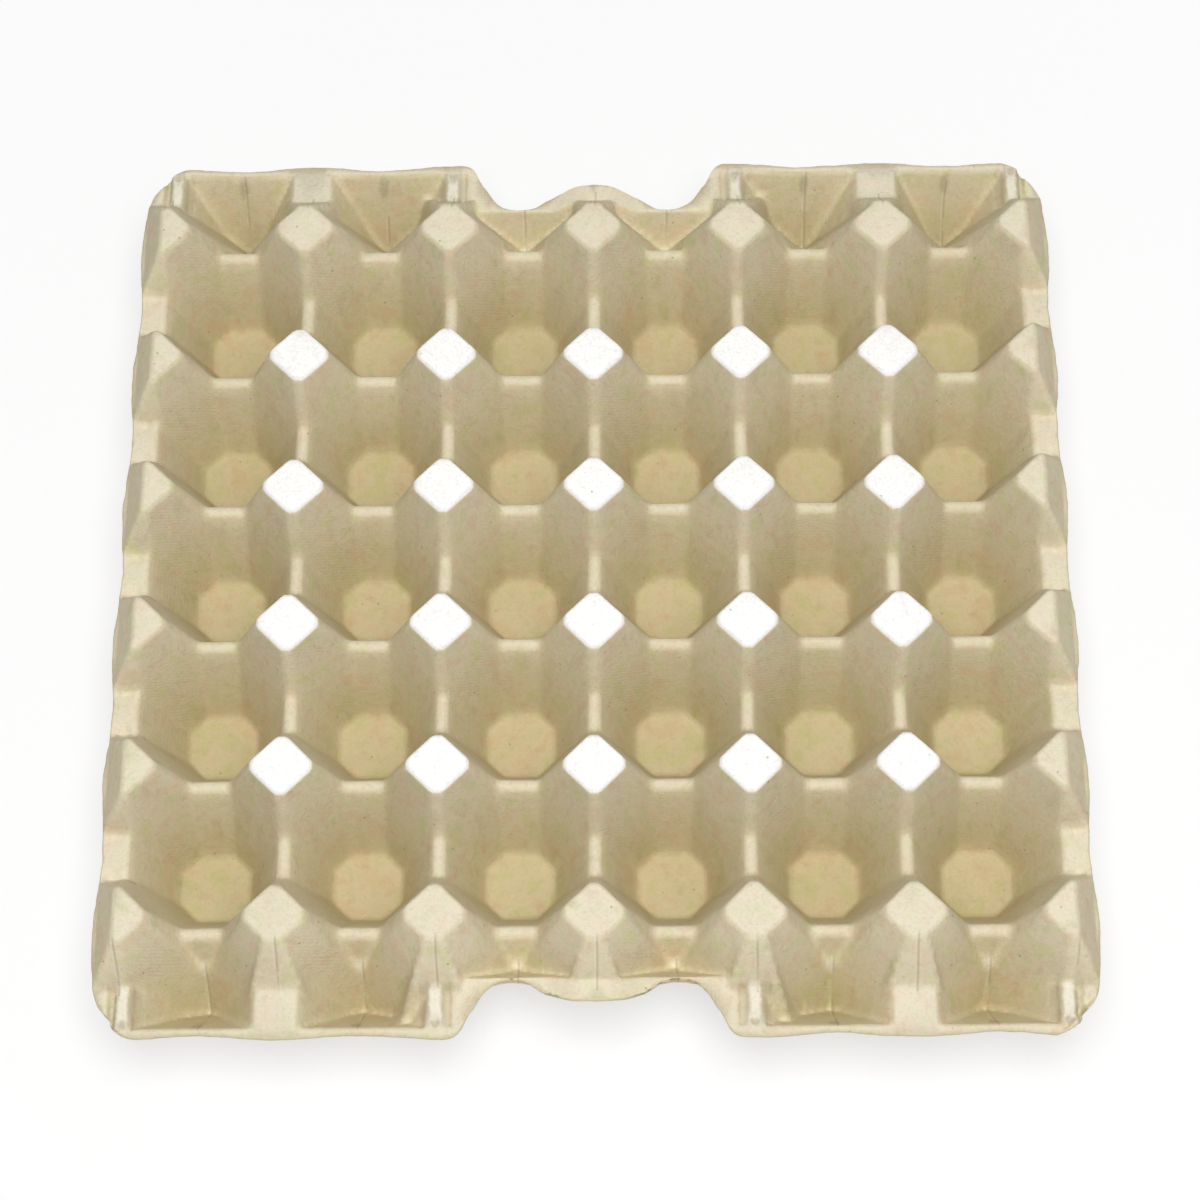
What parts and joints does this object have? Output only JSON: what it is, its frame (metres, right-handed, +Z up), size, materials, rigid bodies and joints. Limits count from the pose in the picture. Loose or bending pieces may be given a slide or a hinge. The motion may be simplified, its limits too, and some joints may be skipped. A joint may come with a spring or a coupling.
{
  "type": "pulp egg tray",
  "caption": "Square moulded pulp tray with rows of deep egg pockets between diamond-topped posts, a narrow rim and a finger notch at each end.",
  "frame": {"origin": "middle of the tray on the plane that its feet rest on", "axes": "+Z up, +X along the six columns of pockets, +Y along the five rows"},
  "size_m": [0.298, 0.3, 0.047],
  "materials": {
    "pulp": "rough matte moulded pulp"
  },
  "bodies": {
    "root": {"egg_tray": "pulp"}
  },
  "joints": []
}
